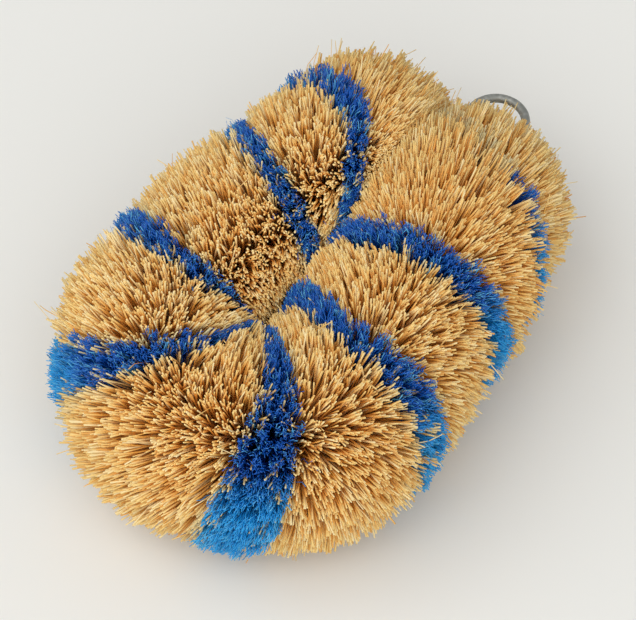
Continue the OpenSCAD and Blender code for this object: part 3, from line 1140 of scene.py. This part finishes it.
@dataclass
class Wires(SubAssembly):
    """The twisted core wires, the binding round the neck and the eye, in millimetres."""

    core: Core
    seat: Array
    wire_r: float = 1.0
    gap: float = 0.12
    pitch: float = 13.0
    neck_run: float = 8.4
    neck_pull: float = 0.75
    neck_slack: float = 1.1
    bind_r: float = 0.6
    bind_turns: int = 4
    bind_short: float = 0.49
    bind_gap: float = 0.45
    eye_wire_r: float = 0.8
    eye_r: float = 2.6
    eye_gap: float = 0.4
    seat_gap: float = 0.2
    ring_wire_r: float = 1.1
    eye_open: float = math.radians(115)
    neck_step: float = 1.5
    wire_step: float = 0.7
    bind_steps: int = 48
    loop_steps: int = 16
    leg_steps: int = 9
    wire_sides: int = 14
    eye_sides: int = 18
    slot = Slot.WIRE

    def __post_init__(self) -> None:
        """Work out the places along the neck, back from the ring's seat in the eye."""
        seat_length = self.eye_r - self.eye_wire_r - self.ring_wire_r - self.seat_gap
        self.eye = self.seat - [0, seat_length, 0]
        self.pitch_y = 2 * self.bind_r + self.bind_gap
        self.bind_end = self.eye[1] - self.eye_r - self.eye_gap - self.eye_wire_r - self.bind_r
        self.bind_y = self.bind_end - self.bind_turns * self.pitch_y
        self.off = self.wire_r + self.gap / 2
        self.pair_r = self.off + self.wire_r
        self.pair_x = self.pair_r + self.gap / 2
        self.leg_z = math.sqrt((self.pair_r + self.eye_wire_r + self.gap) ** 2 - self.pair_x**2)

    def _lead(self, side: int) -> Array:
        """Return the four control points by which a limb's wires come to the neck.

        Args:
            side: -1 for the left limb and 1 for the right.

        Returns:
            The control points.
        """
        end = np.array(self.core.ends[0 if side < 0 else 1])
        start, away = self.core.point(end), side * self.core.heading(end)
        stop = np.array([self.eye[0] + side * self.pair_x, self.bind_y, self.eye[2]])
        pull = self.neck_run * self.neck_pull
        return np.stack([start, start + away * pull, stop - [0, pull, 0], stop])

    def _lead_length(self, side: int) -> float:
        """Return the length of a limb's wires from its end to the binding."""
        lead = self._lead(side)
        return np.linalg.norm(lead[3] - lead[0]) * self.neck_slack

    def _middle(self, w: Array) -> Array:
        """Return the line round which the wires are twisted.

        Args:
            w: Places along the core, far past both ends.

        Returns:
            The points.
        """
        points, (start, stop) = self.core.point(w), self.core.ends
        for side, far in ((-1, start - w), (1, w - stop)):
            length = self._lead_length(side)
            curve = bezier(self._lead(side), np.clip(far / length, 0, 1))
            curve[:, 1] += np.maximum(far - length, 0)
            points[far > 0] = curve[far > 0]
        return points

    def _ends(self) -> Span:
        """Return where the core wires start and stop, at the far side of the binding."""
        (start, stop), tail = self.core.ends, self.bind_end - self.bind_y
        return start - tail - self._lead_length(-1), stop + tail + self._lead_length(1)

    def neck_points(self) -> Array:
        """Return points along everything at the neck, for the fibres to keep clear of.

        Returns:
            The points.
        """
        (first, last), (start, stop) = self._ends(), self.core.ends
        left, right = np.arange(first, start, self.neck_step), np.arange(stop, last, self.neck_step)
        eye = self.eye + np.array([[0, y, 0] for y in np.arange(-self.eye_r, self.eye_r, self.neck_step)])
        return np.concatenate([self._middle(left), self._middle(right), eye])

    def _core_wire(self, phase: float) -> Array:
        """Return the path of one core wire.

        Args:
            phase: Its turn where w is nought.

        Returns:
            Points along it.
        """
        w = np.arange(*self._ends(), self.wire_step)
        middle = self._middle(w)
        along = unit(np.gradient(middle, axis=0))
        side = unit(np.cross(along, UP))
        turn = (2 * math.pi * w / self.pitch + phase)[:, None]
        return middle + self.off * (np.cos(turn) * side + np.sin(turn) * np.cross(side, along))

    def _binding(self) -> Array:
        """Return the path of the binding wire.

        Returns:
            Points along it.
        """
        wide = self.pair_x + self.pair_r + self.bind_r + self.gap
        high = self.leg_z + self.eye_wire_r + self.bind_r + self.gap
        turns = np.arange(0, self.bind_turns - self.bind_short, 1 / self.bind_steps)
        angle = 2 * math.pi * turns
        y = self.bind_y + self.bind_r + self.pitch_y * turns
        return np.stack([self.eye[0] + wide * np.cos(angle), y, self.eye[2] + high * np.sin(angle)], -1)

    def _eye_wire(self) -> Array:
        """Return the path of the eye's wire, out along one leg, round the loop and back.

        Returns:
            Points along it.
        """
        halves = []
        for side in (-1, 1):
            throat = np.array([self.eye[0], self.bind_end - self.bind_r, self.eye[2] + side * self.leg_z])
            angles = np.linspace(side * self.eye_open, 0, self.loop_steps)
            loop = self.eye + self.eye_r * np.stack([0 * angles, np.cos(angles), np.sin(angles)], -1)
            pull = np.linalg.norm(throat - loop[0]) / 3
            slope = np.array([0, -math.sin(self.eye_open), side * math.cos(self.eye_open)])
            control = np.stack([throat, throat + [0, pull, 0], loop[0] + slope * pull, loop[0]])
            start = np.array([[self.eye[0], self.bind_y - self.bind_r, throat[2]]])
            leg = bezier(control, np.linspace(0, 1, self.leg_steps)[:-1])
            halves.append(np.concatenate([start, leg, loop]))
        return np.concatenate([halves[0][:-1], halves[1][::-1]])

    def build(self) -> list[bpy.types.Object]:
        """Make the wires.

        Returns:
            Their objects, each standing for its CAD node.
        """
        shapes = {
            "core_wire_a": (self._core_wire(0), self.wire_r, self.wire_sides),
            "core_wire_b": (self._core_wire(math.pi), self.wire_r, self.wire_sides),
            "neck_binding": (self._binding(), self.bind_r, self.wire_sides),
            "hanging_eye": (self._eye_wire(), self.eye_wire_r, self.eye_sides),
        }
        return [self.tie(round_wire(f"{node}_round", *shape), node) for node, shape in shapes.items()]


@dataclass
class PackedRoots(SubAssembly):
    """The sleeve of tightly packed roots round the wires, in millimetres."""

    core: Core
    outer: float = 3.5
    inner: float = 2.5
    step: float = 1.6
    sides: int = 40
    ridge: float = 0.12
    seed: int = 71
    slot = Slot.NATURAL

    def build(self) -> list[bpy.types.Object]:
        """Make the sleeve.

        Returns:
            Its object.
        """
        core, rng = self.core, np.random.default_rng(self.seed)
        s = np.arange(*core.ends, self.step)
        place, turns = np.meshgrid(s, round_turns(self.sides), indexing="ij")
        ridged = self.outer + rng.uniform(-self.ridge, self.ridge, place.shape)
        skins = [
            (core.point(place) + radii[..., None] * core.radial(place, turns)).reshape(-1, 3)
            for radii in (ridged, np.full_like(ridged, self.inner))
        ]
        # The inner skin's points follow the outer skin's, and last is the first point of the last ring.
        within, last = place.size, place.size - self.sides
        outer = tube_walls(len(s), self.sides)[:, [0, 3, 2, 1]]
        inner = outer[:, ::-1] + within
        corner, after = np.arange(self.sides), (np.arange(self.sides) + 1) % self.sides
        start = np.stack([corner, after, after + within, corner + within], -1)
        stop = np.stack([after, corner, corner + within, after + within], -1) + last
        made = mesh_object("packed_roots", np.concatenate(skins), [np.concatenate([outer, inner, start, stop])])
        return [self.tie(made)]


class HangingRing(SubAssembly):
    """The loose ring, which is the CAD's own piece."""

    slot = Slot.WIRE

    def build(self) -> list[bpy.types.Object]:
        """Return the ring as the frame holds it."""
        return [frame["nodes"]["hanging_ring"]]


@dataclass(frozen=True)
class Lamp:
    """A soft square lamp: its direction in degrees, its power in watts and its side in metres."""

    name: str
    azimuth: float
    elevation: float
    watts: float
    size: float
    tint: Colour


@dataclass
class Studio:
    """The table top, the soft lamps and the camera, in metres and degrees."""

    bend_y: float
    aim_x: float = -0.0089
    aim_past_bend: float = 0.0357
    azimuth: float = 33.72
    elevation: float = 52.71
    distance: float = 0.8
    sensor: float = 36.0
    focal_px: float = 3338.0
    image_px: float = 636.0
    floor_size: float = 6.0
    lamp_distance: float = 3.0
    sky: Colour = (0.98, 0.98, 1.0)
    sky_strength: float = 0.44
    lamps: tuple[Lamp, ...] = (
        Lamp("key", -42, 50, 33.6, 3.0, (1.0, 0.985, 0.96)),
        Lamp("fill", 34, 44, 59.5, 3.7, (1.0, 1.0, 1.0)),
    )

    def _place(
        self, name: str, data: bpy.types.ID, azimuth: float, elevation: float, distance: float
    ) -> bpy.types.Object:
        """Put a lamp or a camera where it looks at the brush.

        Args:
            name: The object's name.
            data: The lamp's or the camera's data.
            azimuth: Degrees round from the front, towards the right.
            elevation: Degrees above the table.
            distance: How far away it is.

        Returns:
            The object.
        """
        a, e = math.radians(azimuth), math.radians(elevation)
        back = Vector((math.sin(a) * math.cos(e), -math.cos(a) * math.cos(e), math.sin(e)))
        made = bpy.data.objects.new(name, data)
        made.location = Vector((self.aim_x, self.bend_y + self.aim_past_bend, 0)) + back * distance
        made.rotation_mode = "QUATERNION"
        made.rotation_quaternion = (-back).to_track_quat("-Z", "Y")
        bpy.context.scene.collection.objects.link(made)
        return made

    def _build_camera(self) -> None:
        """Place the camera where the photograph was taken from."""
        data = bpy.data.cameras.new("camera")
        data.sensor_width, data.lens = self.sensor, self.sensor * self.focal_px / self.image_px
        bpy.context.scene.camera = self._place("camera", data, self.azimuth, self.elevation, self.distance)

    def _build_floor(self) -> None:
        """Lay the table top."""
        half = self.floor_size / 2 / MM
        corners = np.array([[-half, -half, 0], [half, -half, 0], [half, half, 0], [-half, half, 0]])
        floor = mesh_object("table_top", corners, [np.array([[0, 1, 2, 3]])], False)
        floor.data.materials.append(PaleFloor().material())

    def _build_light(self) -> None:
        """Hang the lamps and set the sky."""
        for lamp in self.lamps:
            data = bpy.data.lights.new(lamp.name, "AREA")
            data.energy, data.size, data.color = lamp.watts, lamp.size, lamp.tint
            self._place(lamp.name, data, lamp.azimuth, lamp.elevation, self.lamp_distance)
        world = bpy.data.worlds.new("studio")
        world.use_nodes = True
        background = world.node_tree.nodes["Background"]
        background.inputs["Color"].default_value = (*self.sky, 1.0)
        background.inputs["Strength"].default_value = self.sky_strength
        bpy.context.scene.world = world
        bpy.context.scene.view_settings.view_transform = "Standard"

    def build(self) -> None:
        """Set up the floor, the light and the camera."""
        self._build_floor()
        self._build_light()
        self._build_camera()


def keep_clear(core: Core, wires: Wires, seat: Array) -> Clearance:
    """Find the room that the fibres leave at the neck.

    Args:
        core: The core.
        wires: The wires at the neck.
        seat: Where the ring sits in the eye, in millimetres.

    Returns:
        What the fibres keep clear of.
    """
    spare, behind = 1.0, 1.8
    low, high = (np.array(corner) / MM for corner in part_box("hanging_ring"))
    swing = high[1] - seat[1] + spare
    ring_low = np.array([low[0] - spare, seat[1] - behind, seat[2] - swing])
    ring_high = np.array([high[0] + spare, high[1] + spare, seat[2] + swing])
    return Clearance(core, wires.neck_points(), ring_low, ring_high)


def main() -> None:
    """Build the brush round the frame, and the studio round the brush."""
    logging.basicConfig(level=logging.INFO, format="%(message)s")
    low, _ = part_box("natural_tuft_5")
    core = Core(bend_y=low.y / MM + Core.reach + Core.bend_r)
    seat = np.array(frame["joints"][0]["pos_m"]) / MM
    wires, stripes = Wires(core, seat), Stripes(core)
    clearance = keep_clear(core, wires, seat)
    finishes = {
        Slot.NATURAL: PlantFibre().material(),
        Slot.BLUE: BlueNylon().material(),
        Slot.WIRE: GalvanisedWire().material(),
    }
    tufts = [Tuft(stripes, clearance, i, BLUE if i % 2 else NATURAL) for i in range(stripes.count)]
    for assembly in (*tufts, PackedRoots(core), wires, HangingRing()):
        pieces, finish = assembly.build(), finishes[assembly.slot]
        assembly.dress(pieces, finish)
        for piece in pieces:
            log.info("%s: %d faces in %s", piece.name, len(piece.data.polygons), finish.name)
    Studio(bend_y=core.bend_y * MM).build()


if __name__ == "__main__":
    main()
